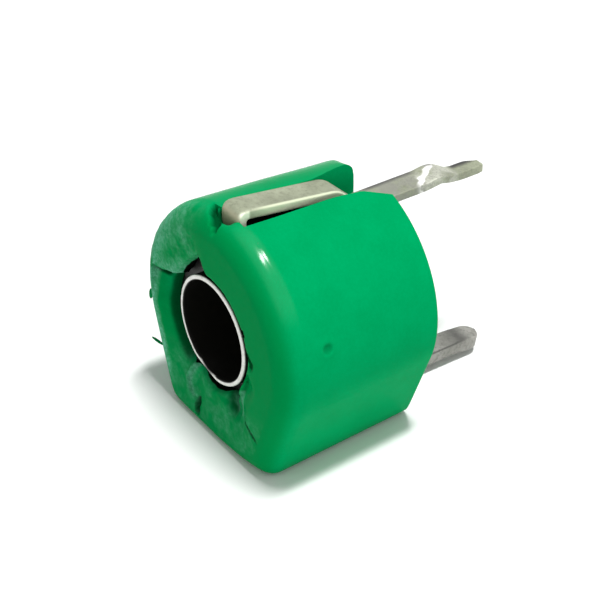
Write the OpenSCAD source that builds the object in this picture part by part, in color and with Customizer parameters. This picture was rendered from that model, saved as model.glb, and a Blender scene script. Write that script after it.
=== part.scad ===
// Round trimmer capacitor with a moulded case, lying on the flat of its foot.
// The turning axis runs along Y: the adjusting face looks towards -Y and the two pins leave
// towards +Y. The origin is on the turning axis, in the seating face that the pins leave.

/* [Case] */
// Radius of the barrel at the shoulder of the adjusting end
case_r = 3.0; // [2.85:0.05:3.4]
// Radius of the barrel at the seating face
rear_r = 2.82; // [2.7:0.02:3]
// Length from the seating face to the adjusting face
case_len = 4.4; // [4.2:0.1:5]
// Rounding between the barrel and the adjusting face
edge_r = 0.55; // [0.2:0.05:0.8]
// Radius of the round chamber inside the case
chamber_r = 2.35; // [2.2:0.01:2.5]
// Thickness of the heat-swaged lip in front of the terminal ring
lip_t = 0.55; // [0.4:0.05:0.6]

/* [Foot] */
// Width of the foot across its two long corners
foot_w = 4.1; // [3:0.1:4.2]
// How far the middle of the foot lies to the left of the axis
foot_shift = 0.07; // [0:0.01:0.2]
// Distance from the turning axis to the flat of the foot
foot_drop = 3.2; // [3.15:0.05:3.5]
// Rounding of the two long corners of the foot
foot_corner = 0.3; // [0.1:0.05:0.5]
// Rounding between the foot and the adjusting face
foot_edge = 0.25; // [0.1:0.05:0.35]

/* [Injection mark] */
// Radius of the injection mark on the barrel's side
gate_r = 0.1; // [0.05:0.01:0.15]
// Depth of the injection mark
gate_d = 0.06; // [0.02:0.01:0.1]
// Distance of the injection mark from the adjusting face
gate_at = 1.22; // [1:0.02:2]
// Angle of the injection mark above the level of the axis
gate_turn = 14; // [0:1:40]

/* [Swaged lip] */
// Gap between the rotor sleeve and the lip where the lip comes closest
lip_gap = 0.06; // [0.04:0.01:0.1]
// How far the mouth of the lip reaches to the left of the axis
mouth_left = 2.0; // [1.8:0.02:2.1]
// How far the mouth of the lip reaches below the axis
mouth_low = 1.78; // [1.7:0.02:1.9]
// How far the sunken lobes lie below the adjusting face at the mouth
lobe_sink = 0.22; // [0.1:0.02:0.3]
// Radius at which the sunken lobes start to fall towards the mouth
lobe_r = 2.7; // [2.4:0.05:2.8]
// Angle around the axis at which the sunken lobes start
lobe_from = 165; // [160:1:172]
// Angle that the sunken lobes take up
lobe_span = 132; // [100:1:136]
// Step down from the upper left lobe to the left one
left_step = 0.19; // [0.05:0.01:0.22]
// Step down from the ridge along the lower lobe's left edge
ridge_step = 0.17; // [0.05:0.01:0.22]
// Width of the seams between the swaged lobes
seam_w = 0.07; // [0.04:0.01:0.12]
// Depth of the seams between the swaged lobes
seam_d = 0.2; // [0.05:0.05:0.3]

/* [Strap channel] */
// Gap between the strap and the channel's left wall
left_gap = 0.08; // [0.04:0.01:0.15]
// Gap between the strap and the channel's right wall
right_gap = 0.2; // [0.04:0.02:0.3]
// Thickness of the wall between the chamber and the channel's floor
channel_skin = 0.2; // [0.15:0.01:0.22]
// Gap under the strap's end where it dips to the pin
dip_gap = 0.08; // [0.05:0.01:0.15]
// Wall between the chamber's floor and the deep end of the channel
dip_wall = 0.35; // [0.2:0.05:0.5]
// How much wider the deep end of the channel is on the left
dip_widen = 0.26; // [0:0.02:0.3]
// Rounding of the rear corner of the wall left of the channel
wall_round = 0.3; // [0.1:0.02:0.4]
// Length of the bevel on the channel's right wall at the seating face
bevel_len = 0.65; // [0.3:0.05:0.9]
// Drop of that bevel at the seating face
bevel_drop = 0.34; // [0.1:0.02:0.5]

/* [Rotor terminal] */
// Width of the strap, up to the snap-in kink of its pin
strap_w = 0.64; // [0.5:0.02:0.7]
// Width of the pin beyond the snap-in kink
pin_w = 0.44; // [0.35:0.01:0.5]
// Thickness of the terminal's sheet
strap_t = 0.22; // [0.18:0.02:0.3]
// Sideways offset of the strap from the axis
terminal_x = 0.08; // [0:0.01:0.1]
// Gap between the strap and the channel's floor at the adjusting end
front_lift = 0.4; // [0.3:0.01:0.42]
// Gap between the strap and the channel's floor where the strap starts to dip
rear_lift = 0.06; // [0.03:0.01:0.2]
// Distance from the seating face at which the strap has dipped to the pin
dip_end = 0.4; // [0.2:0.05:0.6]
// Height of the pin's centre line above the axis
rotor_pin_z = 2.0; // [1.95:0.01:2.1]
// Length of the pin beyond the seating face
rotor_pin_len = 3.3; // [2.9:0.1:4.5]
// Distance from the seating face to the crest of the snap-in kink
kink_at = 1.8; // [1.4:0.1:2]
// Height of the snap-in kink
kink_h = 0.1; // [0.05:0.01:0.2]
// Inward bend at the tip of the pin
tip_bend = 0.22; // [0:0.02:0.4]

/* [Stator terminal] */
// Width of the stator pin
stator_w = 0.52; // [0.4:0.02:0.6]
// Thickness of the stator terminal's sheet
stator_t = 0.36; // [0.25:0.02:0.4]
// Sideways offset of the stator pin from the axis
stator_x = 0.47; // [0.2:0.01:0.6]
// Distance of the stator pin's centre line above the flat of the foot
stator_cover = 0.42; // [0.35:0.01:0.5]
// Length of the stator pin beyond the seating face
stator_pin_len = 3.2; // [2.5:0.1:4.5]
// Distance from the seating face at which the stator pin starts to bend
stator_bend_at = 2.25; // [2.2:0.05:2.4]
// Downward bend at the tip of the stator pin
stator_bend = 0.12; // [0:0.02:0.2]
// Moulded wall left around the half-moon electrode, up to the chamber's side
stator_inset = 0.25; // [0.15:0.01:0.4]

/* [Rotor] */
// Outer radius of the rotor sleeve
sleeve_r = 1.36; // [1.3:0.01:1.4]
// Wall thickness of the rotor sleeve
sleeve_wall = 0.12; // [0.1:0.01:0.18]
// Width of the flange at the foot of the sleeve
flange_w = 0.54; // [0.4:0.02:0.6]
// Thickness of the rotor plate
plate_t = 0.3; // [0.2:0.02:0.34]
// Margin of bare ceramic around the rotor plate's half-moon
plate_inset = 0.08; // [0.05:0.01:0.15]
// Width of the driver slot in the rotor plate
slot_w = 0.5; // [0.4:0.02:0.7]
// Length of the driver slot in the rotor plate
slot_len = 2.1; // [1.8:0.02:2.2]
// Thickness of the ceramic disc
disc_t = 0.8; // [0.6:0.02:0.86]
// Radius of the hole through the ceramic disc
disc_hole_r = 0.5; // [0.3:0.05:0.8]

/* [Washers] */
// Thickness of the thrust washer
thrust_t = 0.25; // [0.15:0.01:0.28]
// Sheet thickness of the dished spring washer
spring_t = 0.12; // [0.08:0.01:0.15]
// Height of the dished spring washer as fitted
spring_h = 0.44; // [0.3:0.02:0.6]
// Gap around the dished spring washer in the chamber
spring_gap = 0.2; // [0.1:0.01:0.25]

/* [Clearances] */
// Radial running clearance between the sleeve and the terminal ring's hole
run_gap = 0.05; // [0.02:0.01:0.08]
// Radial gap between the turning ceramic disc and the chamber
disc_gap = 0.15; // [0.1:0.01:0.2]
// Gap between faces that slide on each other
film = 0.02; // [0.01:0.01:0.03]
// Gap around a piece that lies in the moulded case
seat_gap = 0.02; // [0.01:0.01:0.05]

/* [Hidden] */
$fn = 72;
over = 0.5;                                     // how far a cut runs past what it cuts
slice = 0.01;                                   // thickness of the slices that the shell spans
// Heights along the axis from the seating face, stacked down from the adjusting face
ring_top = case_len - lip_t;
ring_base = ring_top - strap_t;
thrust_base = ring_base - thrust_t;
flange_top = thrust_base - spring_h - film;
flange_base = flange_top - sleeve_wall;
plate_base = flange_base - plate_t;
disc_base = plate_base - disc_t;
floor_t = disc_base - film;
stator_base = floor_t - stator_t;
dip_start = floor_t - dip_wall;
// Radii of what lies in the chamber
ring_r = chamber_r - seat_gap;
hole_r = sleeve_r + run_gap;
flange_r = sleeve_r + flange_w;
disc_r = chamber_r - disc_gap;
plate_r = disc_r - plate_inset;
spring_r = chamber_r - spring_gap;
stator_r = chamber_r - stator_inset;
hub_r = slot_len / 2 + plate_t;
// Heights above the axis and places across it
channel_floor = chamber_r + channel_skin;
channel_dip = rotor_pin_z - strap_t / 2 - dip_gap;
strap_front = channel_floor + front_lift + strap_t / 2;
strap_rear = channel_floor + rear_lift + strap_t / 2;
stator_pin_drop = foot_drop - stator_cover;
channel_left = terminal_x - strap_w / 2 - left_gap;
channel_right = terminal_x + strap_w / 2 + right_gap;
dip_left = channel_left - dip_widen;

// Turns a piece that is built upright, with its axis along z, into the lying position
module lie() rotate([90, 0, 0]) children();

// A flat ring between two radii
module ring(outer, inner, height) {
    difference() {
        cylinder(r = outer, h = height);
        translate([0, 0, -over]) cylinder(r = inner, h = height + 2 * over);
    }
}

// One side of a half disc, on the side of +y
module half_moon(radius, height) {
    intersection() {
        cylinder(r = radius, h = height);
        translate([-radius, 0, 0]) cube([2 * radius, radius, height]);
    }
}

// Mitre offsets of a bent centre line: each point moved square to the sheet by `shift`
function heading(a, b) = (b - a) / norm(b - a);
function mitre(path, i, shift) =
    let (last = len(path) - 1,
         before = i > 0 ? heading(path[i - 1], path[i]) : heading(path[0], path[1]),
         after = i < last ? heading(path[i], path[i + 1]) : before,
         half = heading([0, 0], before + after),
         stretch = shift / (half * before))
    path[i] + stretch * [-half[1], half[0]];

// Side view of a bent sheet that follows a centre line
module bent_sheet(path, thickness) {
    left = [for (i = [0 : len(path) - 1]) mitre(path, i, thickness / 2)];
    right = [for (i = [len(path) - 1 : -1 : 0]) mitre(path, i, -thickness / 2)];
    polygon(concat(left, right));
}

// Extrudes a side view, drawn as [along the axis, height], to a strip across the axis
module across(at_x, width) {
    translate([at_x + width / 2, 0, 0]) rotate([0, -90, 0]) linear_extrude(width) children();
}

// Plan of a pin with a rounded end, down to its tip below the seating face
module rounded_plan(at_x, width, pin_len, tip_r, top) {
    for (side = [-1, 1])
        translate([at_x + side * (width / 2 - tip_r), -2 * case_r, tip_r - pin_len])
            rotate([-90, 0, 0]) cylinder(r = tip_r, h = 4 * case_r, $fn = 32);
    translate([at_x - width / 2, -2 * case_r, tip_r - pin_len])
        cube([width, 4 * case_r, pin_len + top - tip_r]);
    translate([at_x - width / 2 + tip_r, -2 * case_r, -pin_len])
        cube([width - 2 * tip_r + slice, 4 * case_r, 2 * tip_r]);
}

// Solid outer form of the case: a drafted barrel that runs down into the foot
module shell() {
    hull() {
        for (step = [0 : 5]) {
            turn = step * 90 / 5;
            barrel_slice(case_r - edge_r * (1 - cos(turn)), case_len - slice - edge_r * (1 - sin(turn)));
            foot_slice(foot_edge * (1 - cos(turn)), case_len - slice - foot_edge * (1 - sin(turn)));
        }
        barrel_slice(rear_r, 0);
        foot_slice(0, 0);
    }
}

// One thin slice of the barrel
module barrel_slice(radius, height) {
    translate([0, 0, height]) cylinder(r = radius, h = slice, $fn = 96);
}

// One thin slice of the foot's two corners, set in by `inset`
module foot_slice(inset, height) {
    for (side = [-1, 1])
        translate([side * (foot_w / 2 - foot_corner - inset) - foot_shift,
                   foot_corner + inset - foot_drop, height])
            cylinder(r = foot_corner, h = slice, $fn = 32);
}

// Mouth that the swaged lip leaves around the sleeve: a notch at the top left, an open left
// side, and a lower edge that ends in a second notch at the right
module mouth() {
    circle(r = sleeve_r + lip_gap);
    polygon([[0, sleeve_r], [-0.4 * sleeve_r, 1.25 * sleeve_r],
             [-0.6 * sleeve_r, 1.08 * sleeve_r], [-0.74 * mouth_left, 0.55 * sleeve_r],
             [-mouth_left, 0.32 * sleeve_r], [-mouth_left, -0.25 * mouth_low],
             [-0.88 * mouth_left, -0.58 * mouth_low], [-0.7 * mouth_left, -0.82 * mouth_low],
             [-0.34 * mouth_left, -0.96 * mouth_low], [0, -mouth_low],
             [0.4 * sleeve_r, -0.84 * mouth_low], [0.64 * sleeve_r, -0.85 * mouth_low],
             [0.84 * sleeve_r, -0.6 * sleeve_r]]);
}

// Sunken faces of the left and lower lobes, falling towards the mouth
module sunken_lobes() {
    far = 2 * case_r;
    intersection() {
        translate([0, 0, case_len - lobe_sink])
            cylinder(r1 = mouth_low, r2 = lobe_r, h = lobe_sink + slice);
        rotate(lobe_from) translate([0, 0, ring_top]) linear_extrude(lip_t + over)
            polygon([[0, 0], [far, 0], [far, far], [far * cos(lobe_span), far * sin(lobe_span)]]);
    }
}

// Steps down beside the lobes that lap over the left one
module lobe_steps() {
    falling_cut([-0.7 * mouth_left, 0.34 * sleeve_r], -90, case_r, 0.55 * mouth_left, left_step);
    falling_cut([-0.5 * mouth_low, -0.8 * mouth_low], -18, 0.6 * mouth_low, -0.3 * mouth_left,
                ridge_step);
}

// Cut whose floor falls to `depth` along an edge that starts at a place on the adjusting face
module falling_cut(place, turn, long, wide, depth) {
    translate([place[0], place[1], case_len]) rotate(turn) rotate([90, 0, 0]) linear_extrude(long)
        polygon([[0, over], [0, -depth], [wide, 0], [wide, over]]);
}

// Seams where the swaged lobes meet: [angle, inner radius, outer radius]
module seams() {
    for (seam = [[88, case_r - edge_r, case_r], [171, mouth_left, case_r],
                 [250, 1.5 * mouth_low, foot_drop + over], [306, mouth_low, 1.5 * mouth_low]])
        rotate(seam[0]) translate([seam[1], -seam_w / 2, case_len - seam_d])
            cube([seam[2] - seam[1], seam_w, seam_d + over]);
}

// Channel for the strap: shallow along the chamber, deep and wider where the strap dips to
// the pin, and open to the chamber where the strap rises from the terminal ring
module channel() {
    translate([channel_left, channel_floor, 0])
        cube([channel_right - channel_left, case_r, ring_top]);
    translate([dip_left, channel_dip, -over])
        cube([channel_right - dip_left, case_r, dip_start + over]);
    translate([terminal_x - strap_w / 2 - seat_gap, 0, ring_base - seat_gap])
        cube([strap_w + 2 * seat_gap, 2 * case_r, strap_t + seat_gap]);
}

// Rounded corner of the wall left of the channel, where the barrel meets the seating face
module wall_corner() {
    rim = sqrt(rear_r * rear_r - dip_left * dip_left);
    across(dip_left - wall_round / 2, wall_round + slice) difference() {
        translate([-slice, rim - wall_round]) square(2 * wall_round);
        translate([wall_round, rim - wall_round]) circle(r = wall_round);
        translate([wall_round, rim - 2 * wall_round]) square(2 * wall_round);
    }
}

// Bevel on the channel's right wall at the seating face
module right_bevel() {
    rim = sqrt(rear_r * rear_r - channel_right * channel_right);
    translate([channel_right, rim, 0]) rotate([0, 0, 20]) across(0, channel_right - channel_left)
        polygon([[-slice, -bevel_drop], [bevel_len, 0], [bevel_len, over], [-slice, over]]);
}

// Injection mark on the barrel's side
module gate_mark() {
    draft = (case_r - rear_r) / (case_len - edge_r);
    rotate(gate_turn) translate([case_r - draft * (gate_at - edge_r) - gate_d, 0, case_len - gate_at])
        rotate([0, 90, 0]) cylinder(r = gate_r, h = over);
}

// Moulded case with its heat-swaged lip
module case() {
    color([0, 0.66, 0.37]) lie() difference() {
        shell();
        translate([0, 0, floor_t]) cylinder(r = chamber_r, h = ring_top - floor_t);
        translate([0, 0, ring_top - slice]) linear_extrude(lip_t + over) mouth();
        sunken_lobes();
        lobe_steps();
        seams();
        channel();
        wall_corner();
        right_bevel();
        gate_mark();
        stator_solid(seat_gap);
    }
}

// Centre line of the strap and its pin, as [along the axis, height]
function strap_line() =
    let (front = ring_base + strap_t / 2, nib = strap_t / 3)
    [[front, ring_r - strap_t], [front, strap_front - nib], [front - nib, strap_front],
     [dip_start - nib, strap_rear], [dip_start - 2 * nib, strap_rear - nib],
     [dip_end, rotor_pin_z], [strap_t - kink_at, rotor_pin_z],
     [-kink_at, rotor_pin_z + kink_h], [-kink_at - strap_t, rotor_pin_z + kink_h],
     [-rotor_pin_len, rotor_pin_z - tip_bend]];

// Rotor terminal: a ring around the sleeve whose strap bends over the case to its pin
module rotor_terminal() {
    color([0.7, 0.69, 0.62]) lie() {
        translate([0, 0, ring_base]) ring(ring_r, hole_r, strap_t);
        intersection() {
            across(terminal_x, strap_w) bent_sheet(strap_line(), strap_t);
            strap_plan();
        }
    }
}

// Plan of the strap: full width to the snap-in kink, then narrowing to a tapered tip
module strap_plan() {
    wide = strap_w / 2;
    narrow = pin_w / 2;
    neck = -kink_at - strap_t / 2;
    translate([terminal_x, 2 * case_r, 0]) rotate([90, 0, 0]) linear_extrude(4 * case_r)
        polygon([[-wide, case_len], [-wide, neck], [-narrow, neck - strap_t],
                 [-narrow, strap_t - rotor_pin_len], [-narrow / 2, -rotor_pin_len],
                 [narrow / 2, -rotor_pin_len], [narrow, strap_t - rotor_pin_len],
                 [narrow, neck - strap_t], [wide, neck], [wide, case_len]]);
}

// Centre line of the stator terminal's leg and pin
function stator_line() =
    let (level = stator_base + stator_t / 2)
    [[level, -stator_r / 2], [level, stator_t / 3 - stator_pin_drop],
     [level - stator_t / 3, -stator_pin_drop],
     [-stator_bend_at, -stator_pin_drop],
     [-stator_pin_len, -stator_pin_drop - stator_bend]];

// Stator terminal's form, grown by `grow` where the case is moulded around it
module stator_solid(grow) {
    translate([0, 0, stator_base - grow])
        rotate(180) half_moon(stator_r + grow, stator_t + 2 * grow);
    intersection() {
        across(stator_x, stator_w + 2 * grow) bent_sheet(stator_line(), stator_t + 2 * grow);
        rounded_plan(stator_x, stator_w + 2 * grow, stator_pin_len + grow,
                     stator_w / 2, floor_t + grow);
    }
}

// Stator terminal: a half-moon electrode in the floor with a leg that leaves as the lower pin
module stator_terminal() {
    color([0.55, 0.55, 0.52]) lie() stator_solid(0);
}

// Flat washer that the spring pushes against the terminal ring
module thrust_washer() {
    color([0.72, 0.68, 0.55]) lie()
        translate([0, 0, thrust_base]) ring(ring_r, hole_r, thrust_t);
}

// Dished spring washer between the sleeve's flange and the thrust washer
module spring_washer() {
    inner = hole_r + run_gap;
    low = flange_top + film;
    color([0.75, 0.72, 0.6]) lie() rotate_extrude()
        polygon([[inner, low], [inner + spring_t, low],
                 [spring_r, thrust_base - spring_t], [spring_r, thrust_base],
                 [spring_r - spring_t, thrust_base], [inner, low + spring_t]]);
}

// Flanged sleeve that a driver passes into
module rotor_sleeve() {
    color([0.8, 0.79, 0.76]) lie() rotate_extrude()
        polygon([[sleeve_r - sleeve_wall, flange_base], [flange_r, flange_base],
                 [flange_r, flange_top], [sleeve_r, flange_top], [sleeve_r, case_len],
                 [sleeve_r - sleeve_wall, case_len]]);
}

// Half-moon rotor plate with a round hub and the driver slot
module rotor_plate() {
    color([0.78, 0.74, 0.6]) lie() translate([0, 0, plate_base]) difference() {
        union() {
            half_moon(plate_r, plate_t);
            cylinder(r = hub_r, h = plate_t);
        }
        translate([-slot_len / 2, -slot_w / 2, -over])
            cube([slot_len, slot_w, plate_t + 2 * over]);
    }
}

// Ceramic disc that carries the rotor plate and slides on the stator electrode
module ceramic_disc() {
    color([0.92, 0.9, 0.84]) lie() translate([0, 0, disc_base]) ring(disc_r, disc_hole_r, disc_t);
}

case();
rotor_terminal();
stator_terminal();
thrust_washer();
spring_washer();
rotor_sleeve();
rotor_plate();
ceramic_disc();
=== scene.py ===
import bisect
import math

import bmesh
import bpy
from mathutils import Matrix, Vector, noise


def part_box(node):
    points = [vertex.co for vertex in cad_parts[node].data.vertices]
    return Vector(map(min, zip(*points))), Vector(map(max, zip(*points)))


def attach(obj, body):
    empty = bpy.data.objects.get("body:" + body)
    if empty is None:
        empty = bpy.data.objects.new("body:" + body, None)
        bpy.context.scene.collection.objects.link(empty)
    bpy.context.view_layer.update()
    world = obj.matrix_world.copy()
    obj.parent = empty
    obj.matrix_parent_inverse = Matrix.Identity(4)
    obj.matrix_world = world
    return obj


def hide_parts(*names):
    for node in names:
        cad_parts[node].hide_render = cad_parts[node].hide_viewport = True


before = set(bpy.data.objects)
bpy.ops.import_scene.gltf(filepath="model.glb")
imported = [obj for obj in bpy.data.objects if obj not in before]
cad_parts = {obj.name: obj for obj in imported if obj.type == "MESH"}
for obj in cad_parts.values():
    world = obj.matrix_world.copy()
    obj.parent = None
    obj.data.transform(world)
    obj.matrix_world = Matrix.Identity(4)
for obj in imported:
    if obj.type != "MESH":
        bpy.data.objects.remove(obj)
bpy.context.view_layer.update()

MM = 0.001                      # every length below is written in millimetres


def reach(node):
    """Lowest and highest corner of a CAD node in millimetres."""
    return [Vector(corner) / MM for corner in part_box(node)]


# Case: lengths along the turning axis are counted from the seating face
CASE_LOW, CASE_HIGH = reach("case")
CASE_LEN = -CASE_LOW.y
CASE_R, REAR_R = CASE_HIGH.x, 2.82                   # the barrel at its front and rear
FRONT_LEN = 0.6                                      # length of the barrel with no draft
FOOT_DROP = -CASE_LOW.z
CHANNEL_LEFT, CHANNEL_RIGHT = -0.32, 0.60
CHANNEL_FLOOR = 2.55
DIP_LEFT, DIP_FLOOR = -0.58, 1.81                    # where the strap dips to its pin

# Rotor sleeve
SLEEVE_HIGH = reach("rotor_sleeve")[1]
SLEEVE_R, SLEEVE_WALL = 1.36, 0.12
FLANGE_R, FLANGE_BASE = SLEEVE_HIGH.x, -SLEEVE_HIGH.y
FLANGE_TOP = FLANGE_BASE + SLEEVE_WALL

# Terminals
STRAP_LOW, STRAP_HIGH = reach("rotor_terminal")
STRAP_X, STRAP_W, PIN_W, STRAP_T = 0.08, 0.64, 0.44, 0.22
RING_OUT, RING_IN, RING_TOP = STRAP_HIGH.x, 1.41, -STRAP_LOW.y
RING_BASE = RING_TOP - STRAP_T
STATOR_LOW, STATOR_HIGH = reach("stator_terminal")
STATOR_X, STATOR_W, STATOR_T = 0.47, 0.52, 0.36
STATOR_Z, STATOR_BASE = -2.78, -STATOR_LOW.y - STATOR_T
STATOR_SHORT = 0.08                                  # how far the pin ends short of its solid

# Inside of the case
CHAMBER_R = RING_OUT + 0.02
CHAMBER_FLOOR = -STATOR_LOW.y
LIP_UNDER = RING_TOP + 0.02
CHANNEL_END = RING_TOP - 0.01
DIP_LEN = CHAMBER_FLOOR - 0.35


# ---------------------------------------------------------------- small helpers
def smooth(low, high, x):
    """0 below low, 1 above high, and an even turn between them."""
    if low == high:
        return 1.0 if x >= high else 0.0
    t = min(1.0, max(0.0, (x - low) / (high - low)))
    return t * t * (3 - 2 * t)


def mix(a, b, t):
    """a at 0, b at 1."""
    return a + (b - a) * t


def hump(x, middle, half):
    """1 at the middle, 0 beyond half a width to either side."""
    return 1 - smooth(0, half, abs(x - middle))


class Curve:
    """A smooth curve through (x, y) pairs, with x rising."""

    def __init__(self, *pairs):
        self.xs = [p[0] for p in pairs]
        self.ys = [p[1] for p in pairs]
        slopes = [(self.ys[i + 1] - self.ys[i]) / (self.xs[i + 1] - self.xs[i])
                  for i in range(len(pairs) - 1)]
        self.ms = [slopes[0]]
        for a, b in zip(slopes, slopes[1:]):
            self.ms.append(0 if a * b <= 0 else 2 * a * b / (a + b))
        self.ms.append(slopes[-1])

    def __call__(self, x):
        xs, ys, ms = self.xs, self.ys, self.ms
        if x <= xs[0]:
            return ys[0]
        if x >= xs[-1]:
            return ys[-1]
        i = bisect.bisect_right(xs, x) - 1
        h = xs[i + 1] - xs[i]
        t = (x - xs[i]) / h
        return (ys[i] * (1 + 2 * t) * (1 - t) ** 2 + h * ms[i] * t * (1 - t) ** 2
                + ys[i + 1] * t * t * (3 - 2 * t) + h * ms[i + 1] * t * t * (t - 1))


def to_line(x, z, line):
    """Distance from a point to a walked line, how far along it the nearest place is, and the
    distance to the left of it, which is negative on its right."""
    best, where, left, gone = 9.0, 0.0, 0.0, 0.0
    for (ax, az), (bx, bz) in zip(line, line[1:]):
        dx, dz = bx - ax, bz - az
        long = math.hypot(dx, dz)
        t = min(1.0, max(0.0, ((x - ax) * dx + (z - az) * dz) / (long * long)))
        d = math.hypot(x - ax - t * dx, z - az - t * dz)
        if d < best:
            best, where = d, gone + t * long
            left = d if dx * (z - az) - dz * (x - ax) > 0 else -d
        gone += long
    return best, where / gone, left


def rough(x, y, z, size, octaves=3):
    """Even noise from about -1 to 1, with lumps of the given size."""
    return noise.fractal(Vector((x, y, z)) / size, 0.7, 2.1, octaves)


def finish_mesh(bm, name, body, replaces=(), smooth_angle=40):
    """Turns a bmesh in millimetres into a finished piece that rides on a body."""
    bmesh.ops.recalc_face_normals(bm, faces=bm.faces[:])
    bmesh.ops.scale(bm, vec=(MM, MM, MM), verts=bm.verts[:])
    mesh = bpy.data.meshes.new(name)
    bm.to_mesh(mesh)
    bm.free()
    mesh.shade_smooth()
    mesh.set_sharp_from_angle(angle=math.radians(smooth_angle))
    piece = bpy.data.objects.new(name, mesh)
    bpy.context.scene.collection.objects.link(piece)
    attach(piece, body)
    for node in replaces:
        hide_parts(node)
    return piece


def sheet_of(columns, rows, place, tones=()):
    """A grid of points, each moved to place(column, row), which may also give named tones."""
    bm = bmesh.new()
    bmesh.ops.create_grid(bm, x_segments=columns, y_segments=rows, size=0.5)
    layers = [bm.verts.layers.float.new(name) for name in tones]
    for v in bm.verts:
        i = round((v.co.x + 0.5) * columns)
        j = round((v.co.y + 0.5) * rows)
        if layers:
            v.co, levels = place(i, j)
            for layer, level in zip(layers, levels):
                v[layer] = min(1.0, max(0.0, level))
        else:
            v.co = place(i, j)
    return bm


# ---------------------------------------------------------------- case
BARREL_COLS = 432               # columns of points around the barrel and the foot
WALL_COLS = 8                   # columns up one wall of the strap channel
FLOOR_COLS = 24                 # columns across the channel's floor
CHANNEL_COLS = 2 * WALL_COLS + FLOOR_COLS
COLS = BARREL_COLS + CHANNEL_COLS

# Where the flat flanks leave the barrel, and how sharply they meet the foot
FLANK_RIGHT, FLANK_LEFT = math.radians(-21), math.radians(199.5)
FOOT_CORNER = 28
GATE_TURN, GATE_T = math.radians(14), 3.18          # injection mark on the barrel
# Rounding between barrel and face, around the case
EDGE = Curve((-180, 0.34), (-150, 0.3), (-122, 0.28), (-90, 0.26), (-72, 0.36), (-58, 0.55),
             (-30, 0.56), (0, 0.58), (90, 0.6), (130, 0.55), (160, 0.4), (180, 0.34))

# Columns lie closer together at the injection mark
SPREAD = Curve((0, 0), (0.155, 0.1743), (0.211, 0.1947), (0.3, 0.28), (1, 1))


def degrees(angle):
    """An angle in degrees from -180 to 180: 0 at the right, 90 at the top."""
    return (math.degrees(angle) + 180) % 360 - 180


def outline_r(angle, inset=0.0, radius=CASE_R):
    """Distance from the axis to the outline of barrel, flanks and foot."""
    r = radius - inset
    low = math.sin(angle)
    if low > -0.05:
        return r
    past = angle - FLANK_RIGHT if math.cos(angle) > 0 else FLANK_LEFT - angle
    past = (past + math.pi) % (2 * math.pi) - math.pi
    if past >= 0:
        return r
    flank = math.cos(past) / r
    foot = -low / (FOOT_DROP - inset)
    top = max(flank, foot)
    return 1 / (top * ((flank / top) ** FOOT_CORNER
                       + (foot / top) ** FOOT_CORNER) ** (1 / FOOT_CORNER))


def barrel_radius(t):
    """The barrel's draft: narrower towards the seating face."""
    return mix(REAR_R, CASE_R, min(1.0, t / (CASE_LEN - FRONT_LEN)))


def sag(angle, t):
    """The barrel is a little low along the walls of the channel: left behind, right in front."""
    left = 0.03 * hump(degrees(angle), 116, 26) * (1 - smooth(0.3, 2.2, t))
    return left + 0.06 * hump(degrees(angle), 80, 15) * smooth(0.8, 3.2, t)


def case_point(angle, t, inset=0.0):
    """A point (x, z) on the barrel, with the injection mark sunk in a low ring."""
    r = outline_r(angle, inset, barrel_radius(t)) - sag(angle, t)
    off = math.hypot((angle - GATE_TURN) * r, t - GATE_T)
    if off < 0.3:
        r += 0.01 * hump(off, 0.2, 0.1) - 0.045 * (1 - smooth(0.03, 0.16, off))
    return Vector((r * math.cos(angle), r * math.sin(angle)))


def channel_corners(t):
    """Angles at which the channel's two walls meet the barrel; its left wall stands further out
    at the rear."""
    r = barrel_radius(t)
    left = mix(DIP_LEFT, CHANNEL_LEFT, smooth(0.25, 1.5, t))
    right = mix(CHANNEL_RIGHT + 0.03, CHANNEL_RIGHT - 0.05, smooth(0.6, 1.6, t))
    return math.acos(right / r), math.acos(left / r)


def column_angle(i, t):
    """Angle of a barrel column: from the channel's right corner down and around to its left."""
    right, left = channel_corners(t)
    return right - SPREAD(i / BARREL_COLS) * (right - left + 2 * math.pi)


def channel_point(k, t):
    """Point k of the channel's outline, from its left corner over the floor to its right one."""
    right, left = channel_corners(t)
    start, end = case_point(left, t), case_point(right, t)
    floor = DIP_FLOOR if t < DIP_LEN else CHANNEL_FLOOR
    lean = 0.02
    if k < WALL_COLS:
        f = k / WALL_COLS
        return Vector((start.x + lean * (1 - (1 - f) ** 6), mix(start.y, floor, f)))
    if k <= WALL_COLS + FLOOR_COLS:
        f = (k - WALL_COLS) / FLOOR_COLS
        return Vector((mix(start.x + lean, end.x - lean, f), floor))
    f = (CHANNEL_COLS - k) / WALL_COLS
    return Vector((end.x - lean * (1 - (1 - f) ** 6), mix(end.y, floor, f)))


# Bevel on the right: its direction, its distance from the axis and how fast that grows with t.
# On the left the corner is rounded.
BEVEL_NORMAL = Vector((math.cos(math.radians(114)), math.sin(math.radians(114))))
BEVEL_FROM, BEVEL_RISE = 2.01, 0.42
LEFT_ROUND = 0.3


def cut_rear_corners(p, t, right_side):
    """Bevel on the right wall and rounding on the left one, where they meet the seating face."""
    if right_side:
        over = BEVEL_NORMAL.dot(p) - (BEVEL_FROM + BEVEL_RISE * t)
        if over > 0 and p.x > 0.2:
            p = p - BEVEL_NORMAL * over
    else:
        share = hump(p.x, -0.62, 0.75)
        depth = LEFT_ROUND - t
        if depth > 0 and share > 0 and p.y > 1.9:
            drop = LEFT_ROUND - math.sqrt(max(0.0, LEFT_ROUND ** 2 - depth ** 2))
            p = Vector((p.x, p.y - drop * share))
    return p


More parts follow.
